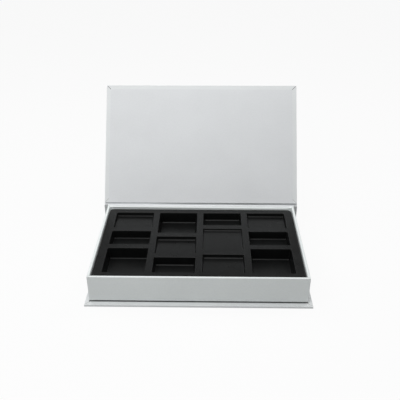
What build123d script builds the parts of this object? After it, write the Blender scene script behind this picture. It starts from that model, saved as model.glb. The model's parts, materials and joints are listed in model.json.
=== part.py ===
"""Book-style rigid chocolate box, shown open, with a formed insert of twelve pockets.

Millimetres, +Z up.  The origin is the middle of the underside of the case, +X is to the
right as seen from the front, and the lid hinges along the back, at +Y.
"""
from build123d import *
import os
from math import atan2, cos, degrees, radians, sin, sqrt

os.makedirs("parts", exist_ok=True)

# Board and papers
board = 2.0                   # greyboard of every panel
cover_paper = 0.15            # outside sheet that wraps the panels
liner_paper = 0.15            # lining sheet inside the case
edge_round = 0.5              # soft edge of a wrapped panel
fold_round = 1.0              # outer edge of a scored and folded board
mitre_gap = 0.5               # between turned-in papers where they meet at a corner
mitre_start = 0.9             # from the corner of a panel to the start of that gap

# Tray, outside sizes
tray_width = 200.0
tray_depth = 124.0
tray_height = 28.0

# Case round the tray
front_overhang = 5.0
side_overhang = 4.0
turn_in = 15.0                # how far the cover paper is turned in over a panel
liner_inset = 4.5             # the lining sheet stops this far from a panel's edge
liner_foot = 14.0             # how far the spine's lining runs in under the tray

# Hinge of the lid
lid_clearance = 0.2           # closed lid over the rim
lid_gap = 1.8                 # fold line to the lid's back edge, crossed by paper alone
open_angle = 124.5            # degrees from closed, as photographed

# Corner stays of the tray
stay_paper = 0.1
stay_reach = 12.0             # along each wall
stay_margin = 3.0             # short of the board at the top and the bottom

# Formed insert
sheet = 0.7                   # wall of the insert
insert_drop = 2.3             # top of the insert below the rim
insert_clearance = 0.25       # foot of the skirt to the tray's walls
skirt_draft = 1.0             # degrees
skirt_corner = 5.0
skirt_round = 1.2             # edge between the skirt and the top

# Pockets of the insert
pocket_width = 39.5
pocket_rib = 6.4              # from one pocket to the next
short_length = 23.4
medium_length = 28.6
long_length = 38.0
short_depth = 8.5
medium_depth = 4.2
long_depth = 11.5
tablet_depth = 2.6            # the one long pocket that is shallow
pocket_draft = 8.0            # degrees
pocket_round = 1.5            # corners of a pocket, and along its floor
lip = 0.3                     # soft lip round a pocket's mouth

# How far a cut runs past what it cuts
overrun = 1.0

# Heights that follow
panel = cover_paper + board + cover_paper
bevel_share = 2 - sqrt(2)     # of a round, for the bevel that lies closest to it
board_bevel = (edge_round - cover_paper) * bevel_share
base_board_top = cover_paper + board
rim = panel + tray_height
spine_board_top = rim - liner_paper
tray_board_bottom = panel + cover_paper
tray_board_top = rim - cover_paper
tray_floor = tray_board_bottom + board
lined_floor = tray_floor + liner_paper
insert_top = rim - insert_drop
insert_height = insert_top - lined_floor

# Places along X and Y that follow
case_width = tray_width + side_overhang * 2
case_depth = front_overhang + tray_depth + liner_paper + panel
case_front = -case_depth / 2
case_rear = case_depth / 2
spine_board_rear = case_rear - cover_paper
spine_board_front = spine_board_rear - board
tray_rear = spine_board_front - cover_paper - liner_paper
tray_front = tray_rear - tray_depth
tray_middle = (tray_front + tray_rear) / 2
tray_inner_width = tray_width - panel * 2
tray_inner_depth = tray_depth - panel * 2

# Lid that follows: it closes flush with the front of the case
half_fold = (cover_paper + liner_paper) / 2
hinge_y = case_rear - half_fold
hinge_z = rim + lid_clearance
lid_length = hinge_y - lid_gap - case_front
fold_reach = liner_paper + panel - half_fold   # fold line out to the lid's outer face
fold_slope = atan2(fold_reach, lid_gap)
lid_tilt = radians(open_angle)
lid_plane = Plane(
    origin=(0, hinge_y, hinge_z),
    x_dir=(1, 0, 0),
    z_dir=(0, sin(lid_tilt), cos(lid_tilt)),
)


def save(part, name):
    """Label a finished piece and write it under its own name."""
    part.label = name
    export_step(part, f"parts/{name}.step")


def span(x_size, y_low, y_high, corner=None):
    """Draw a rectangle centred on X between two places along Y, inside a sketch."""
    with Locations((0, (y_low + y_high) / 2)):
        if corner is None:
            Rectangle(x_size, y_high - y_low)
        else:
            RectangleRounded(x_size, y_high - y_low, corner)


def mitres(x_size, y_low, y_high, reach, sides=(1, -1)):
    """Draw the diagonal gaps at the corners of a panel, inside a sketch.

    Of the two sides along Y, 1 is the low one and -1 the high one."""
    for y_side in sides:
        y = y_low if y_side > 0 else y_high
        for x_side in (1, -1):
            start = (x_side * (mitre_start - x_size / 2), y + y_side * mitre_start)
            inward = degrees(atan2(y_side, x_side))
            with Locations(Location(start, inward)):
                Rectangle(reach * sqrt(2), mitre_gap, align=(Align.MIN, Align.CENTER))


# Base panel of the case: its board runs back to the spine board
with BuildPart() as base_board:
    with BuildSketch(Plane.XY.offset(cover_paper)):
        span(case_width - cover_paper * 2, case_front + cover_paper, spine_board_front)
    extrude(amount=board)
    rear_face = base_board.faces().sort_by(Axis.Y)[-1]
    chamfer(base_board.edges() - rear_face.edges(), board_bevel)
save(base_board.part, "base_board")

# Its cover paper: under the board, up three edges, and turned in over the top
with BuildPart() as base_wrap:
    with BuildSketch():
        span(case_width, case_front, spine_board_front)
    extrude(amount=panel)
    rear_face = base_wrap.faces().sort_by(Axis.Y)[-1]
    upright = base_wrap.edges().filter_by(Axis.Z)
    fillet(base_wrap.edges() - rear_face.edges() - upright, edge_round)
    add(base_board.part, mode=Mode.SUBTRACT)
    with BuildSketch(Plane.XY.offset(base_board_top)):
        span(case_width - turn_in * 2, case_front + turn_in, spine_board_front)
        mitres(case_width, case_front, spine_board_front, turn_in, sides=(1,))
    extrude(amount=panel, mode=Mode.SUBTRACT)
save(base_wrap.part, "base_wrap")

# Spine: an upright board behind the base panel
with BuildPart() as spine_board:
    with BuildSketch(Plane.XY.offset(cover_paper)):
        span(case_width - cover_paper * 2, spine_board_front, spine_board_rear)
    extrude(amount=spine_board_top - cover_paper)
    lowest = spine_board.edges().filter_by(Axis.X).group_by(Axis.Z)[0]
    upright = spine_board.edges().filter_by(Axis.Z)
    chamfer(upright + lowest.sort_by(Axis.Y)[-1:], board_bevel)
save(spine_board.part, "spine_board")

# Its cover paper: under it, up the back, and turned in round both ends
with BuildPart() as spine_wrap:
    with BuildSketch():
        span(case_width, spine_board_front - cover_paper, case_rear)
    extrude(amount=rim)
    lowest = spine_wrap.edges().filter_by(Axis.X).group_by(Axis.Z)[0]
    upright = spine_wrap.edges().filter_by(Axis.Z)
    fillet(upright + lowest.sort_by(Axis.Y)[-1:], edge_round)
    add(spine_board.part, mode=Mode.SUBTRACT)
    # room for the lining over the board's top
    with BuildSketch(Plane.XY.offset(spine_board_top)):
        span(case_width - liner_inset * 2, tray_rear, spine_board_rear)
    extrude(amount=liner_paper, mode=Mode.SUBTRACT)
    # the opening between the turned-in ends
    with BuildSketch(Plane.XY.offset(-overrun)):
        span(case_width - turn_in * 2, tray_rear, spine_board_front)
    extrude(amount=rim + overrun * 2, mode=Mode.SUBTRACT)
    # the ends are not turned in below the top of the base panel
    with BuildSketch(Plane.XY.offset(-overrun)):
        span(case_width + overrun, tray_rear, spine_board_front)
    extrude(amount=panel + overrun, mode=Mode.SUBTRACT)
save(spine_wrap.part, "spine_wrap")

# Lining of the spine: over its top, down its face, and in under the tray
with BuildPart() as spine_liner:
    with BuildSketch(Plane.XY.offset(panel)):
        span(case_width - liner_inset * 2, tray_rear, tray_rear + liner_paper)
        span(case_width - turn_in * 2, tray_rear, spine_board_front)
    extrude(amount=rim - panel)
    with BuildSketch(Plane.XY.offset(spine_board_top)):
        span(case_width - liner_inset * 2, tray_rear, spine_board_rear)
    extrude(amount=liner_paper)
    with BuildSketch(Plane.XY.offset(base_board_top)):
        span(case_width - turn_in * 2, tray_rear - liner_foot, spine_board_front)
    extrude(amount=cover_paper)
save(spine_liner.part, "spine_liner")

# Fold of the hinge: cover and lining glued together.  It stands on the spine, is round about
# the fold line, and crosses the gap to the outer face of the lid
with BuildPart() as hinge_fold:
    with BuildSketch(Plane.YZ.offset(-case_width / 2)):
        with Locations((hinge_y, (rim + hinge_z) / 2)):
            Rectangle(half_fold * 2, hinge_z - rim)
        with Locations((hinge_y, hinge_z)):
            Circle(half_fold)
        with Locations(Location((hinge_y, hinge_z), 180 - open_angle)):
            Polygon(
                (half_fold * sin(fold_slope), half_fold * cos(fold_slope)),
                (lid_gap, half_fold / cos(fold_slope) - fold_reach),
                (lid_gap, -half_fold / cos(fold_slope) - fold_reach),
                (-half_fold * sin(fold_slope), -half_fold * cos(fold_slope)),
                align=None,
            )
    extrude(amount=case_width)
save(hinge_fold.part, "hinge_fold")

# Lid panel: the board, the paper turned in over all four edges, and the lining
with BuildPart() as lid_board:
    with BuildSketch(lid_plane.offset(liner_paper + cover_paper)):
        span(
            case_width - cover_paper * 2,
            -lid_gap - lid_length + cover_paper,
            -lid_gap - cover_paper,
        )
    extrude(amount=board)
    chamfer(lid_board.edges(), board_bevel)
save(lid_board.part, "lid_board")

with BuildPart() as lid_wrap:
    with BuildSketch(lid_plane.offset(liner_paper)):
        span(case_width, -lid_gap - lid_length, -lid_gap)
    extrude(amount=panel)
    across = lid_wrap.edges().filter_by(Axis(lid_plane.origin, lid_plane.z_dir))
    fold_edge = lid_wrap.edges().filter_by(Axis.X).sort_by(Axis.Z)[:1]
    fillet(lid_wrap.edges() - across - fold_edge, edge_round)
    add(lid_board.part, mode=Mode.SUBTRACT)
    with BuildSketch(lid_plane.offset(liner_paper + cover_paper)):
        span(case_width - turn_in * 2, -lid_gap - lid_length + turn_in, -lid_gap - turn_in)
        mitres(case_width, -lid_gap - lid_length, -lid_gap, turn_in)
    extrude(amount=-panel, mode=Mode.SUBTRACT)
save(lid_wrap.part, "lid_wrap")

with BuildPart() as lid_liner:
    with BuildSketch(lid_plane):
        span(
            case_width - liner_inset * 2,
            -lid_gap - lid_length + liner_inset,
            -lid_gap - edge_round,
        )
    extrude(amount=liner_paper)
    with BuildSketch(lid_plane.offset(liner_paper)):
        span(case_width - turn_in * 2, -lid_gap - lid_length + turn_in, -lid_gap - turn_in)
    extrude(amount=cover_paper)
save(lid_liner.part, "lid_liner")


# Tray: paper stays round the four corners, let into the folded board
def corner_stay(x_side, y_side):
    """One stay, round the corner on the given sides of the tray."""
    outer_width = tray_width - cover_paper * 2
    outer_depth = tray_depth - cover_paper * 2
    corner = Location((x_side * outer_width / 2, y_side * outer_depth / 2 + tray_middle))
    with BuildPart() as stay:
        with BuildSketch(Plane.XY.offset(tray_board_bottom + stay_margin)):
            with Locations((0, tray_middle)):
                Rectangle(outer_width, outer_depth)
                Rectangle(
                    outer_width - stay_paper * 2,
                    outer_depth - stay_paper * 2,
                    mode=Mode.SUBTRACT,
                )
            with Locations(corner):
                Rectangle(stay_reach * 2, stay_reach * 2, mode=Mode.INTERSECT)
        extrude(amount=tray_board_top - tray_board_bottom - stay_margin * 2)
    return stay.part


stays = {
    "corner_stay_front_left": corner_stay(-1, -1),
    "corner_stay_front_right": corner_stay(1, -1),
    "corner_stay_rear_left": corner_stay(-1, 1),
    "corner_stay_rear_right": corner_stay(1, 1),
}
for name, stay in stays.items():
    save(stay, name)

# The folded blank: a floor and four walls
with BuildPart() as tray_board:
    with BuildSketch(Plane.XY.offset(tray_board_bottom)):
        with Locations((0, tray_middle)):
            Rectangle(tray_width - cover_paper * 2, tray_depth - cover_paper * 2)
    extrude(amount=tray_board_top - tray_board_bottom)
    with BuildSketch(Plane.XY.offset(tray_floor)):
        with Locations((0, tray_middle)):
            Rectangle(tray_inner_width + cover_paper * 2, tray_inner_depth + cover_paper * 2)
    extrude(amount=tray_height, mode=Mode.SUBTRACT)
    chamfer(tray_board.edges().group_by(Axis.Z)[-1], board_bevel)
    chamfer(tray_board.edges().group_by(Axis.Z)[0], (fold_round - cover_paper) * bevel_share)
    for stay in stays.values():
        add(stay, mode=Mode.SUBTRACT)
save(tray_board.part, "tray_board")

# The paper round it: turned over the rim to the floor, and in under the bottom
with BuildPart() as tray_wrap:
    with BuildSketch(Plane.XY.offset(panel)):
        with Locations((0, tray_middle)):
            Rectangle(tray_width, tray_depth)
    extrude(amount=tray_height)
    with BuildSketch(Plane.XY.offset(tray_floor)):
        with Locations((0, tray_middle)):
            Rectangle(tray_inner_width, tray_inner_depth)
    extrude(amount=tray_height, mode=Mode.SUBTRACT)
    fillet(tray_wrap.edges().group_by(Axis.Z)[0], fold_round)
    outer_upright = tray_wrap.edges().filter_by(Axis.Z).group_by(Axis.X)
    top_edges = tray_wrap.edges().group_by(Axis.Z)[-1]
    fillet(outer_upright[0] + outer_upright[-1] + top_edges, edge_round)
    add(tray_board.part, mode=Mode.SUBTRACT)
    for stay in stays.values():
        add(stay, mode=Mode.SUBTRACT)
    with BuildSketch(Plane.XY.offset(panel - overrun)):
        with Locations((0, tray_middle)):
            Rectangle(tray_width - turn_in * 2, tray_depth - turn_in * 2)
    extrude(amount=cover_paper + overrun, mode=Mode.SUBTRACT)
    with BuildSketch(Plane.XY.offset(tray_board_top)):
        mitres(tray_width, tray_front, tray_rear, panel)
    extrude(amount=panel, mode=Mode.SUBTRACT)
save(tray_wrap.part, "tray_wrap")

with BuildPart() as tray_floor_liner:
    with BuildSketch(Plane.XY.offset(tray_floor)):
        with Locations((0, tray_middle)):
            Rectangle(tray_inner_width, tray_inner_depth)
    extrude(amount=liner_paper)
save(tray_floor_liner.part, "tray_floor_liner")


# Insert: a skirted top with pockets, all one thin sheet
def pocket_form(length, depth, skin=0):
    """The space of a pocket below z = 0, grown on every side by the skin.

    Its edges are rounds, and bevels that follow them on the grown one."""
    with BuildPart() as form:
        with BuildSketch(Plane.XY):
            Rectangle(pocket_width + skin * 2, length + skin * 2)
        extrude(amount=-(depth + skin))
        draft(form.faces().filter_by(Axis.Z, reverse=True), Plane.XY, -pocket_draft)
        floor_edges = form.edges().group_by(Axis.Z)[0]
        mouth_edges = form.edges().group_by(Axis.Z)[-1]
        slanted = form.edges() - floor_edges - mouth_edges
        if skin:
            bevel = (pocket_round + skin) * bevel_share
            chamfer(slanted, bevel)
            chamfer(form.edges().group_by(Axis.Z)[0], bevel)
        else:
            fillet(slanted, pocket_round)
            fillet(form.edges().group_by(Axis.Z)[0], pocket_round)
    return form.part


SHORT = (short_length, short_depth)
MEDIUM = (medium_length, medium_depth)
LONG = (long_length, long_depth)
TABLET = (long_length, tablet_depth)
columns = [
    [MEDIUM, SHORT, LONG],
    [LONG, MEDIUM, SHORT],
    [SHORT, TABLET, MEDIUM],
    [MEDIUM, SHORT, LONG],
]


def pocket_places():
    """The middle of each pocket's mouth, with its length and depth, row by row."""
    places = []
    column_pitch = pocket_width + pocket_rib
    first_x = -column_pitch * (len(columns) - 1) / 2
    for index, column in enumerate(columns):
        x = first_x + column_pitch * index
        column_length = sum(length for length, depth in column)
        column_length += pocket_rib * (len(column) - 1)
        rear = tray_middle + column_length / 2
        for length, depth in column:
            places.append((x, rear - length / 2, length, depth))
            rear -= length + pocket_rib
    return places


def skirt_form(skin, height):
    """The drafted block of the insert, less the skin on every side."""
    width = tray_inner_width - (insert_clearance + skin) * 2
    depth = tray_inner_depth - (insert_clearance + skin) * 2
    with BuildPart() as form:
        with BuildSketch(Plane.XY.offset(lined_floor)):
            with Locations((0, tray_middle)):
                RectangleRounded(width, depth, skirt_corner - skin)
        extrude(amount=height, taper=skirt_draft)
    return form.part


with BuildPart() as underside:
    add(skirt_form(sheet, insert_height - sheet))
    for x, y, length, depth in pocket_places():
        with Locations((x, y, insert_top)):
            add(pocket_form(length, depth, sheet), mode=Mode.SUBTRACT)

with BuildPart() as insert:
    add(skirt_form(0, insert_height))
    fillet(insert.edges().group_by(Axis.Z)[-1], skirt_round)
    add(underside.part, mode=Mode.SUBTRACT)
    for x, y, length, depth in pocket_places():
        with Locations((x, y, insert_top)):
            add(pocket_form(length, depth), mode=Mode.SUBTRACT)
    top_face = insert.faces().filter_by(Axis.Z).sort_by(Axis.Z)[-1]
    mouths = [wire.edges() for wire in top_face.inner_wires()]
    chamfer(ShapeList(edge for mouth in mouths for edge in mouth), lip)
save(insert.part, "insert")
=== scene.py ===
"""Open book-style chocolate box: its papers, board, formed insert, floor, light and camera.

Everything is in metres in the part's own frame: +X right, +Y to the hinge, +Z up.
"""
import bmesh
import bpy
import json
from math import cos, pi, radians, sin
from mathutils import Matrix, Vector


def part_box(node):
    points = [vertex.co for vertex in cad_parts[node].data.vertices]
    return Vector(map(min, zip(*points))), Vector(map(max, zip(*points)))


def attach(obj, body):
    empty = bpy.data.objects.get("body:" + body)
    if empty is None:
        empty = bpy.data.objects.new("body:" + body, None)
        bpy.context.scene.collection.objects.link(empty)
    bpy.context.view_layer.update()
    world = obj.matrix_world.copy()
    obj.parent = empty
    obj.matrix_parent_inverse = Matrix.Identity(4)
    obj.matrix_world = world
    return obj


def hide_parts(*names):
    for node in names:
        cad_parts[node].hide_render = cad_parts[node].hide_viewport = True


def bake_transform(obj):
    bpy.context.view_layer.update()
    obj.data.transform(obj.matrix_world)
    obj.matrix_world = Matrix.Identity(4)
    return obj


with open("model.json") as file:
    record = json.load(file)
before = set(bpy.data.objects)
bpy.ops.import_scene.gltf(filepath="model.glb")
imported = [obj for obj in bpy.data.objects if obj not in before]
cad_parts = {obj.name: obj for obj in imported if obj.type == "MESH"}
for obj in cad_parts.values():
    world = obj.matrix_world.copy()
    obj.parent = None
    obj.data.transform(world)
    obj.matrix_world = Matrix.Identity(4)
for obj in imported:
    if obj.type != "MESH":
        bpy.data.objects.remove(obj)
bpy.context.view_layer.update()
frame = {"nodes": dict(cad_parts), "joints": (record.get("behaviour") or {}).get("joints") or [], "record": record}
mm = 0.001

# Camera, as the photograph was taken: its place, its turns in radians and its lens
camera_place = Vector((9.0, -458.4, 344.6)) * mm
camera_pitch = 0.5316
camera_yaw = -0.0183
camera_roll = -0.0030
camera_focal_pixels = 564.9
camera_nearest = 0.01
picture_pixels = 400
sensor_width = 36.0

# Light: a soft sky, and round lamps that face the box, with place and width in mm, and watts
sky_strength = 0.30
sky_color = (0.985, 0.995, 1.0)
lamp_aim = Vector((0, 20, 30)) * mm
lamps = {
    "front_lamp": ((0, -250, 450), 300, 0.51),
    "top_lamp": ((0, 60, 450), 300, 0.30),
    "left_lamp": ((-400, -300, 500), 400, 1.08),
    "rear_left_lamp": ((-400, 300, 600), 400, 1.14),
    "rear_right_lamp": ((400, 300, 600), 400, 1.04),
}

# Floor: a flat disc and the rim that rises round it. To the light it is plain grey. The camera and
# reflections see a glow instead, with a little of the light in it, so that the shadow shows.
floor_radius = 2.2
floor_rim_radius = 0.9
floor_rim_steps = 10
floor_rim_steepest = radians(80)
floor_sides = 96
floor_lit = (0.55, 0.55, 0.55, 1)
floor_shadowed = (0.055, 0.055, 0.055, 1)
floor_glow = 0.925

# Colours of the papers, boards and sheet
cover_color = (0.80, 0.822, 0.825)
tray_color = (0.80, 0.836, 0.83)
lining_color = (0.774, 0.790, 0.803)
spine_lining_color = (0.80, 0.818, 0.83)
tape_color = (0.42, 0.31, 0.19)
greyboard_color = (0.25, 0.24, 0.225)
pale_board_color = (0.60, 0.60, 0.59)
sheet_color = (0.004, 0.0043, 0.0042)

# How rough each paper is, and how far that varies
cover_roughness = 0.5
lining_roughness = 0.6
crease_roughness = 0.65
tape_roughness = 0.7
roughness_range = 0.05

# Lid board: painted light makes it paler below the first height, where its mitres show, and it is plain grey above
# the second
board_painted_light_to = 45 * mm
board_grey_from = 60 * mm
board_grey_shade = 0.42

# Spine: how dark the painted shade on its ends past the tray is, and how soft the change is
spine_end_painted_shade = 0.58
spine_end_soft = 0.4 * mm

# Crease under the lid: painted shade, darkest round a point right of the middle, and painted light at its ends
crease_centre = 20 * mm
crease_painted_shade_to = 30 * mm
crease_painted_light_from = 90 * mm
crease_painted_shade = 0.68
crease_painted_light = 1.1

# Painted shade under the tray, which shows just past its foot as a dark line
foot_shade_margin = 0.8 * mm
foot_painted_shade = 0.22

# Paper over the rear rim: where painted light makes it bright, in front of the wall's inner face, and by how much
rim_painted_light_width = 1 * mm
rim_painted_light = 1.12

# Tray: its folded foot is lifted and pressed flat, and its rear rim slopes on the inside. The slope
# is the rim's own round, grown and flattened, and fades out towards the two corners.
foot_lift = 1.1 * mm
foot_round = 1.0 * mm
foot_squash = 0.4
rim_round = 0.5 * mm
rear_round_share = 3.4
rear_flatness = 0.7
corner_start = 1.5 * mm
corner_end = 5.0 * mm
slack = 0.05 * mm

# Meshes: how near two corners are one, and the angle past which an edge stays sharp
merge_distance = 0.001 * mm
sharp_angle = radians(35)

# Hinge paper: steps along its curve, and the share of the gap in which it already follows the lid
fold_steps = 14
fold_lead = 0.35

# Places read from the part
tray_low, tray_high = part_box("tray_wrap")
inner_x, inner_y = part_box("tray_floor_liner")[1].xy
spine_low, spine_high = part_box("spine_wrap")

# Sockets of the Mix node when it mixes colours
mix_factor, mix_first, mix_second, mix_result = 0, 6, 7, 2


# Shader nodes that the materials share

def new_material(name):
    """A material with its node tree and its Principled shader."""
    material = bpy.data.materials.new(name)
    material.use_nodes = True
    return material, material.node_tree, material.node_tree.nodes["Principled BSDF"]


def add_node(tree, kind, **values):
    """A node with its named inputs set."""
    node = tree.nodes.new(kind)
    for name, value in values.items():
        node.inputs[name.replace("_", " ")].default_value = value
    return node


def feed(tree, socket, value):
    """Link a node's output to a socket, or set the socket to a plain value."""
    if isinstance(value, bpy.types.NodeSocket):
        tree.links.new(value, socket)
    else:
        socket.default_value = value


def combined(tree, operation, *values):
    """Values brought together in turn, such as their product or the largest of them."""
    kept = values[0]
    for value in values[1:]:
        node = tree.nodes.new("ShaderNodeMath")
        node.operation = operation
        feed(tree, node.inputs[0], kept)
        feed(tree, node.inputs[1], value)
        kept = node.outputs[0]
    return kept


def multiplied(tree, color, factor):
    """A colour, made lighter or darker by a factor."""
    mix = tree.nodes.new("ShaderNodeMix")
    mix.data_type = "RGBA"
    mix.blend_type = "MULTIPLY"
    mix.inputs[mix_factor].default_value = 1.0
    feed(tree, mix.inputs[mix_first], color)
    feed(tree, mix.inputs[mix_second], factor)
    return mix.outputs[mix_result]


def object_noise(tree, scale, detail=3.0, roughness=0.55, stretch=(1, 1, 1)):
    """Noise in the piece's own coordinates, in features per metre."""
    place = tree.nodes.new("ShaderNodeTexCoord")
    mapping = add_node(tree, "ShaderNodeMapping", Scale=stretch)
    noise = add_node(tree, "ShaderNodeTexNoise", Scale=scale, Detail=detail, Roughness=roughness)
    tree.links.new(place.outputs["Object"], mapping.inputs["Vector"])
    tree.links.new(mapping.outputs["Vector"], noise.inputs["Vector"])
    return noise.outputs["Fac"]


def spread(tree, value, low, high):
    """A noise value, which mostly lies from 0.3 to 0.7, remapped to run from low to high."""
    remap = add_node(tree, "ShaderNodeMapRange", From_Min=0.3, From_Max=0.7, To_Min=low, To_Max=high)
    tree.links.new(value, remap.inputs["Value"])
    return remap.outputs["Result"]


def coordinate(tree, axis):
    """Where a point lies along X, Y or Z of the part, in metres."""
    place = tree.nodes.new("ShaderNodeTexCoord")
    parts = tree.nodes.new("ShaderNodeSeparateXYZ")
    tree.links.new(place.outputs["Object"], parts.inputs[0])
    return parts.outputs[axis]


def off_centre(tree, axis, centre):
    """How far a point lies from a plane across the axis, on either side."""
    size = tree.nodes.new("ShaderNodeMath")
    size.operation = "ABSOLUTE"
    tree.links.new(combined(tree, "SUBTRACT", coordinate(tree, axis), centre), size.inputs[0])
    return size.outputs[0]


def faded(tree, value, start, end, low, high):
    """A smooth change from low, where the value is at start, to high, where it is at end."""
    remap = add_node(
        tree, "ShaderNodeMapRange", From_Min=start, From_Max=end, To_Min=low, To_Max=high)
    remap.interpolation_type = "SMOOTHSTEP"
    tree.links.new(value, remap.inputs["Value"])
    return remap.outputs["Result"]


def shaded(material, shade):
    """Multiply a material's colour by one more value."""
    tree = material.node_tree
    color = tree.nodes["Principled BSDF"].inputs["Base Color"]
    tree.links.new(multiplied(tree, color.links[0].from_socket, shade), color)


def bump(tree, height, distance, strength=1.0, before=None):
    """A bump on the surface, after an earlier one if there is one."""
    node = add_node(tree, "ShaderNodeBump", Strength=strength, Distance=distance)
    tree.links.new(height, node.inputs["Height"])
    if before is not None:
        tree.links.new(before, node.inputs["Normal"])
    return node.outputs["Normal"]


# Materials

def paper_material(name, color, roughness):
    """Satin paper: a fine fibre grain, faint clouding and a soft sheen."""
    material, tree, shader = new_material(name)
    clouds = spread(tree, object_noise(tree, scale=28.0, detail=2.0), low=0.985, high=1.015)
    mottle = spread(tree, object_noise(tree, scale=700.0, detail=4.0), low=0.985, high=1.015)
    tone = combined(tree, "MULTIPLY", clouds, mottle)
    tree.links.new(multiplied(tree, (*color, 1.0), tone), shader.inputs["Base Color"])
    rough = spread(
        tree, object_noise(tree, scale=900.0), low=roughness - roughness_range,
        high=roughness + roughness_range)
    tree.links.new(rough, shader.inputs["Roughness"])
    fibres = bump(
        tree, object_noise(tree, scale=2600.0, detail=5.0, roughness=0.6), distance=0.012 * mm)
    lay = bump(
        tree, object_noise(tree, scale=60.0, detail=2.0), distance=0.05 * mm, strength=0.5,
        before=fibres)
    tree.links.new(lay, shader.inputs["Normal"])
    shader.inputs["Specular IOR Level"].default_value = 0.3
    return material


def board_material(name, color):
    """Recycled board: grey pulp with darker and lighter flecks."""
    material, tree, shader = new_material(name)
    pulp = spread(tree, object_noise(tree, scale=500.0, detail=4.0), low=0.85, high=1.12)
    strewn = object_noise(tree, scale=2400.0, detail=2.0, roughness=0.7, stretch=(1, 3, 1))
    flecks = spread(tree, strewn, low=0.75, high=1.15)
    tone = combined(tree, "MULTIPLY", pulp, flecks)
    tree.links.new(multiplied(tree, (*color, 1.0), tone), shader.inputs["Base Color"])
    shader.inputs["Roughness"].default_value = 0.9
    shader.inputs["Specular IOR Level"].default_value = 0.2
    fuzz = bump(
        tree, object_noise(tree, scale=1800.0, detail=5.0, roughness=0.65), distance=0.04 * mm)
    tree.links.new(fuzz, shader.inputs["Normal"])
    return material


def sheet_material(name, color):
    """Black formed sheet: satin, with a fine pebble and the slow waves of thin plastic."""
    material, tree, shader = new_material(name)
    bloom = spread(tree, object_noise(tree, scale=90.0, detail=3.0), low=0.85, high=1.2)
    tree.links.new(multiplied(tree, (*color, 1.0), bloom), shader.inputs["Base Color"])
    rough = spread(tree, object_noise(tree, scale=160.0, detail=4.0), low=0.27, high=0.35)
    tree.links.new(rough, shader.inputs["Roughness"])
    pebble = bump(tree, object_noise(tree, scale=3200.0, detail=3.0), distance=0.006 * mm)
    waves = bump(
        tree, object_noise(tree, scale=45.0, detail=1.0), distance=0.1 * mm, strength=0.5,
        before=pebble)
    tree.links.new(waves, shader.inputs["Normal"])
    shader.inputs["Specular IOR Level"].default_value = 0.24
    return material


def lid_board_painted_light():
    """Greyboard, with painted light that makes it paler where it shows through the mitres beside the hinge."""
    material = board_material("lid_board_painted_light", pale_board_color)
    tree = material.node_tree
    height = coordinate(tree, "Z")
    # Painted light: paler board towards the hinge, fading to plain greyboard higher up
    shaded(material, faded(tree, height, board_painted_light_to, board_grey_from, 1, board_grey_shade))
    return material


def painted_shade_spine_ends(material):
    """Painted shade: darken the paper on the front and top of the spine, past the two sides of the tray."""
    tree = material.node_tree
    soft = spine_end_soft
    end, back = spine_high.xy
    from_middle = off_centre(tree, "X", 0)
    # The tray's width, the two end faces and the back keep the paper's own colour
    clear = combined(
        tree, "MAXIMUM",
        faded(tree, from_middle, tray_high.x, tray_high.x + soft, 1, 0),
        faded(tree, from_middle, end - soft * 1.5, end - soft / 2, 0, 1),
        faded(tree, coordinate(tree, "Y"), back - soft, back - soft / 2, 0, 1),
    )
    # Painted shade: the spine's ends past the tray are made darker
    shaded(material, faded(tree, clear, 0, 1, spine_end_painted_shade, 1))
    return material


def crease_lining_painted_light_and_shade():
    """The glued lining of the fold, with painted shade darkest along the middle of its length and painted light at
    its ends.
    """
    material = paper_material("crease_lining_painted_light_and_shade", spine_lining_color, crease_roughness)
    tree = material.node_tree
    from_darkest = off_centre(tree, "X", crease_centre)
    # Painted shade along the crease, and painted light towards its ends
    shade = faded(tree, from_darkest, crease_painted_shade_to, crease_painted_light_from, crease_painted_shade, crease_painted_light)
    shaded(material, shade)
    return painted_shade_spine_ends(material)


def base_paper_painted_shade():
    """Cover paper, with painted shade where the tray stands on it and just past its foot."""
    material = paper_material("base_cover_paper", cover_color, cover_roughness)
    tree = material.node_tree
    side = tray_high.x
    middle = (tray_low.y + tray_high.y) / 2
    half = (tray_high.y - tray_low.y) / 2
    clear = combined(
        tree, "MAXIMUM",
        faded(tree, off_centre(tree, "X", 0), side, side + foot_shade_margin, 0, 1),
        faded(tree, off_centre(tree, "Y", middle), half, half + foot_shade_margin, 0, 1),
    )
    # Painted shade: the paper under the tray and just past its foot is made dark
    shaded(material, faded(tree, clear, 0, 1, foot_painted_shade, 1))
    return material


def tray_paper():
    """Cover paper, with painted light that brightens it from just in front of the rear wall's inner face back over
    the rear rim.
    """
    material = paper_material("tray_cover_paper", tray_color, cover_roughness)
    tree = material.node_tree
    depth = coordinate(tree, "Y")
    # Painted light on the paper from just in front of the rear wall's inner face back
    shaded(material, faded(tree, depth, inner_y - rim_painted_light_width, inner_y, 1, rim_painted_light))
    return material


finish = {
    "cover_paper": paper_material("satin_cover_paper", cover_color, cover_roughness),
    "lining_paper": paper_material("lining_paper", lining_color, lining_roughness),
    "greyboard": board_material("greyboard", greyboard_color),
    "stay_paper": paper_material("kraft_tape", tape_color, tape_roughness),
    "formed_plastic": sheet_material("black_formed_sheet", sheet_color),
}
spine_cover = paper_material("spine_cover_paper", cover_color, cover_roughness)
spine_lining = paper_material("spine_lining_paper", spine_lining_color, lining_roughness)

# Nodes whose finish differs a little from that of their slot; most carry painted light or painted shade
own_finish = {
    "base_board": board_material("primed_board", pale_board_color),
    # the base paper with painted shade under the tray's foot
    "base_wrap": base_paper_painted_shade(),
    # the lid board with painted light near the hinge
    "lid_board": lid_board_painted_light(),
    # both spine papers with painted shade on their ends
    "spine_wrap": painted_shade_spine_ends(spine_cover),
    "spine_liner": painted_shade_spine_ends(spine_lining),
}


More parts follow.
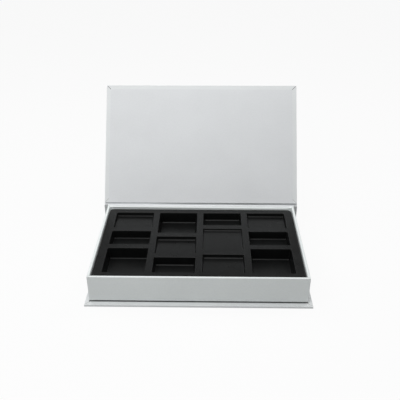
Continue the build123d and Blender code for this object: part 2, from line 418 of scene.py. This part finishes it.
def dress(piece, slot):
    """Give a piece the finish of a material slot."""
    piece.data.materials.clear()
    piece.data.materials.append(finish[slot])


for subpart in frame["record"]["subparts"]:
    dress(frame["nodes"][subpart["node"]], subpart["material_slot"])
for node_name, material in own_finish.items():
    frame["nodes"][node_name].data.materials[0] = material


def new_piece(name, mesh):
    """An object made from a finished bmesh, smooth but for its sharp edges."""
    data = bpy.data.meshes.new(name)
    mesh.to_mesh(data)
    mesh.free()
    for face in data.polygons:
        face.use_smooth = True
    data.set_sharp_from_angle(angle=sharp_angle)
    piece = bpy.data.objects.new(name, data)
    bpy.context.scene.collection.objects.link(piece)
    return piece


# Tray

def rear_parts(mesh):
    """The vertices, edges and faces of the rear wall, from its inner face back, in order."""
    faces = [face for face in mesh.faces if face.calc_center_median().y > inner_y - slack]
    wanted = {part for face in faces for part in (*face.verts, *face.edges, face)}
    return [part for part in (*mesh.verts, *mesh.edges, *mesh.faces) if part in wanted]


def tray_piece(node, name, slot):
    """A copy of a node of the tray, reshaped at the foot and along the inside of its rear rim."""
    mesh = bmesh.new()
    mesh.from_mesh(frame["nodes"][node].data)
    bmesh.ops.remove_doubles(mesh, verts=mesh.verts, dist=merge_distance)
    for x in (corner_start, corner_end):
        for side in (-1, 1):
            place = Vector((side * (inner_x - x), 0, 0))
            bmesh.ops.bisect_plane(
                mesh, geom=rear_parts(mesh), plane_co=place, plane_no=(1, 0, 0))
    for vertex in mesh.verts:
        x, y, z = vertex.co
        from_side = min(tray_high.x - abs(x), y - tray_low.y, tray_high.y - y)
        if z < tray_low.z + foot_round + slack and from_side < foot_round + slack:
            vertex.co.z = tray_low.z + foot_lift + (z - tray_low.z) * foot_squash
        back, drop = y - inner_y, tray_high.z - z
        if abs(back - rim_round / 2) < rim_round / 2 + slack and drop < rim_round + slack:
            along = (inner_x - corner_start - abs(x)) / (corner_end - corner_start)
            share = min(max(along, 0), 1)
            grown = 1 + (rear_round_share - 1) * share
            inward = rear_flatness * share * max(rim_round - back - drop, 0) / 2
            vertex.co.y = inner_y + (back + inward) * grown
            vertex.co.z = tray_high.z - (drop + inward) * grown
    piece = new_piece(name, mesh)
    weighted = piece.modifiers.new("even_shading", "WEIGHTED_NORMAL")
    weighted.keep_sharp = True
    dress(piece, slot)
    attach(piece, "case")
    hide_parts(node)
    return piece


wrapped_tray = tray_piece("tray_wrap", "tray_paper", "cover_paper")
# The tray's paper takes painted light over its rear rim
wrapped_tray.data.materials[0] = tray_paper()
tray_piece("tray_board", "tray_blank", "greyboard")


# Hinge: cover and lining glued together, round the fold and across the gap to the lid

lid_hinge = next(joint for joint in frame["joints"] if joint["name"] == "lid_hinge")
hinge = Vector(lid_hinge["pos_m"])
open_angle = radians(-lid_hinge["range_deg"][0])
lid_away = Vector((0, -cos(open_angle), sin(open_angle)))
lid_outward = Vector((0, sin(open_angle), cos(open_angle)))


def reach(node, direction):
    """How near and how far a node lies from the hinge along a direction."""
    mesh = frame["nodes"][node].data
    along = [(vertex.co - hinge).dot(direction) for vertex in mesh.vertices]
    return min(along), max(along)


def curve_points(points, steps):
    """Points along a smooth curve that starts and ends on the given ones."""
    found = []
    for step in range(steps + 1):
        layer = list(points)
        while len(layer) > 1:
            layer = [a.lerp(b, step / steps) for a, b in zip(layer, layer[1:])]
        found.append(layer[0])
    return found


def paper_strip(name, path, width, thickness):
    """A sheet of paper that runs across the box, with a path as its middle line."""
    mesh = bmesh.new()
    line = [mesh.verts.new(point - Vector((width / 2, 0, 0))) for point in path]
    edges = [mesh.edges.new(pair) for pair in zip(line, line[1:])]
    grown = bmesh.ops.extrude_edge_only(mesh, edges=edges)["geom"]
    moved = [part for part in grown if isinstance(part, bmesh.types.BMVert)]
    bmesh.ops.translate(mesh, verts=moved, vec=(width, 0, 0))
    bmesh.ops.recalc_face_normals(mesh, faces=mesh.faces)
    piece = new_piece(name, mesh)
    wall = piece.modifiers.new("paper", "SOLIDIFY")
    wall.thickness = thickness
    wall.offset = 0
    wall.use_even_offset = True
    wall.material_offset = 1
    return piece


def hinge_papers():
    """The fold: from the top of the spine, back over the gap, and flush with the lid's back."""
    lid_foot = reach("lid_wrap", lid_away)[0]
    lid_back = reach("lid_wrap", lid_outward)[1]
    paper = spine_high.y - hinge.y
    spine_top = Vector((0, hinge.y, spine_high.z))
    lid_corner = hinge + lid_away * lid_foot + lid_outward * (lid_back - paper)
    path = curve_points([
        spine_top,
        hinge + Vector((0, 0, paper / 2)),
        lid_corner - lid_away * lid_foot * fold_lead,
        lid_corner,
    ], fold_steps)
    fold = paper_strip("hinge_papers", path, spine_high.x - spine_low.x, paper * 2)
    dress(fold, "cover_paper")
    fold.data.materials.append(crease_lining_painted_light_and_shade())
    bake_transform(fold)
    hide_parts("hinge_fold")


hinge_papers()


# Floor

def stage_bowl():
    """A wide flat disc with a curved rim, seen as white and keeping the box's shadow."""
    mesh = bmesh.new()
    bmesh.ops.create_circle(mesh, cap_ends=True, segments=floor_sides, radius=floor_radius)
    ring = [edge for edge in mesh.edges if edge.is_boundary]
    radius = floor_radius
    for step in range(1, floor_rim_steps + 1):
        turn = floor_rim_steepest * step / floor_rim_steps
        wanted = floor_radius + floor_rim_radius * sin(turn)
        height = floor_rim_radius * (1 - cos(turn))
        grown = bmesh.ops.extrude_edge_only(mesh, edges=ring)["geom"]
        verts = [part for part in grown if isinstance(part, bmesh.types.BMVert)]
        ring = [part for part in grown if isinstance(part, bmesh.types.BMEdge) and part.is_boundary]
        bmesh.ops.scale(mesh, verts=verts, vec=(wanted / radius, wanted / radius, 1))
        bmesh.ops.translate(mesh, verts=verts, vec=(0, 0, height - verts[0].co.z))
        radius = wanted
    bmesh.ops.recalc_face_normals(mesh, faces=mesh.faces)
    if mesh.faces[0].normal.z < 0:
        bmesh.ops.reverse_faces(mesh, faces=mesh.faces)
    return new_piece("floor", mesh)


def stage_material():
    """White to the camera and in reflections, with the shadow kept; plain pale grey to the light."""
    material = bpy.data.materials.new("pale_floor")
    material.use_nodes = True
    tree = material.node_tree
    tree.nodes.clear()
    output = tree.nodes.new("ShaderNodeOutputMaterial")
    lit = add_node(tree, "ShaderNodeBsdfDiffuse", Color=floor_lit)
    shadowed = add_node(tree, "ShaderNodeBsdfDiffuse", Color=floor_shadowed)
    glow = add_node(tree, "ShaderNodeEmission", Color=(1, 1, 1, 1), Strength=floor_glow)
    seen = tree.nodes.new("ShaderNodeAddShader")
    mix = tree.nodes.new("ShaderNodeMixShader")
    rays = tree.nodes.new("ShaderNodeLightPath").outputs
    watched = combined(
        tree, "ADD", rays["Is Camera Ray"], rays["Is Glossy Ray"], rays["Is Transmission Ray"])
    tree.links.new(shadowed.outputs[0], seen.inputs[0])
    tree.links.new(glow.outputs[0], seen.inputs[1])
    tree.links.new(watched, mix.inputs[0])
    tree.links.new(lit.outputs[0], mix.inputs[1])
    tree.links.new(seen.outputs[0], mix.inputs[2])
    tree.links.new(mix.outputs[0], output.inputs["Surface"])
    return material


floor = stage_bowl()
floor.data.materials.append(stage_material())


# Light and camera

def soft_sky():
    """The same pale light from every side."""
    world = bpy.data.worlds.new("soft_sky")
    world.use_nodes = True
    background = world.node_tree.nodes["Background"]
    background.inputs["Color"].default_value = (*sky_color, 1)
    background.inputs["Strength"].default_value = sky_strength
    bpy.context.scene.world = world


def soft_lamp(name, place, width, watts):
    """A round soft lamp above the box, out of sight of the camera."""
    data = bpy.data.lights.new(name, "AREA")
    data.shape = "DISK"
    data.size = width * mm
    data.energy = watts
    lamp = bpy.data.objects.new(name, data)
    lamp.location = Vector(place) * mm
    lamp.rotation_mode = "QUATERNION"
    lamp.rotation_quaternion = (lamp_aim - lamp.location).to_track_quat("-Z", "Y")
    lamp.visible_camera = False
    bpy.context.scene.collection.objects.link(lamp)


def make_camera():
    """The camera of the photograph."""
    data = bpy.data.cameras.new("camera")
    data.sensor_width = sensor_width
    data.lens = sensor_width * camera_focal_pixels / picture_pixels
    data.clip_start = camera_nearest
    camera = bpy.data.objects.new("camera", data)
    turn = Matrix.Rotation(-camera_yaw, 4, "Z")
    turn = turn @ Matrix.Rotation(pi / 2 - camera_pitch, 4, "X")
    turn = turn @ Matrix.Rotation(camera_roll, 4, "Z")
    camera.matrix_world = Matrix.Translation(camera_place) @ turn
    bpy.context.scene.collection.objects.link(camera)
    bpy.context.scene.camera = camera


soft_sky()
for lamp_name, (place, width, watts) in lamps.items():
    soft_lamp(lamp_name, place, width, watts)
make_camera()
bpy.context.scene.view_settings.view_transform = "Standard"
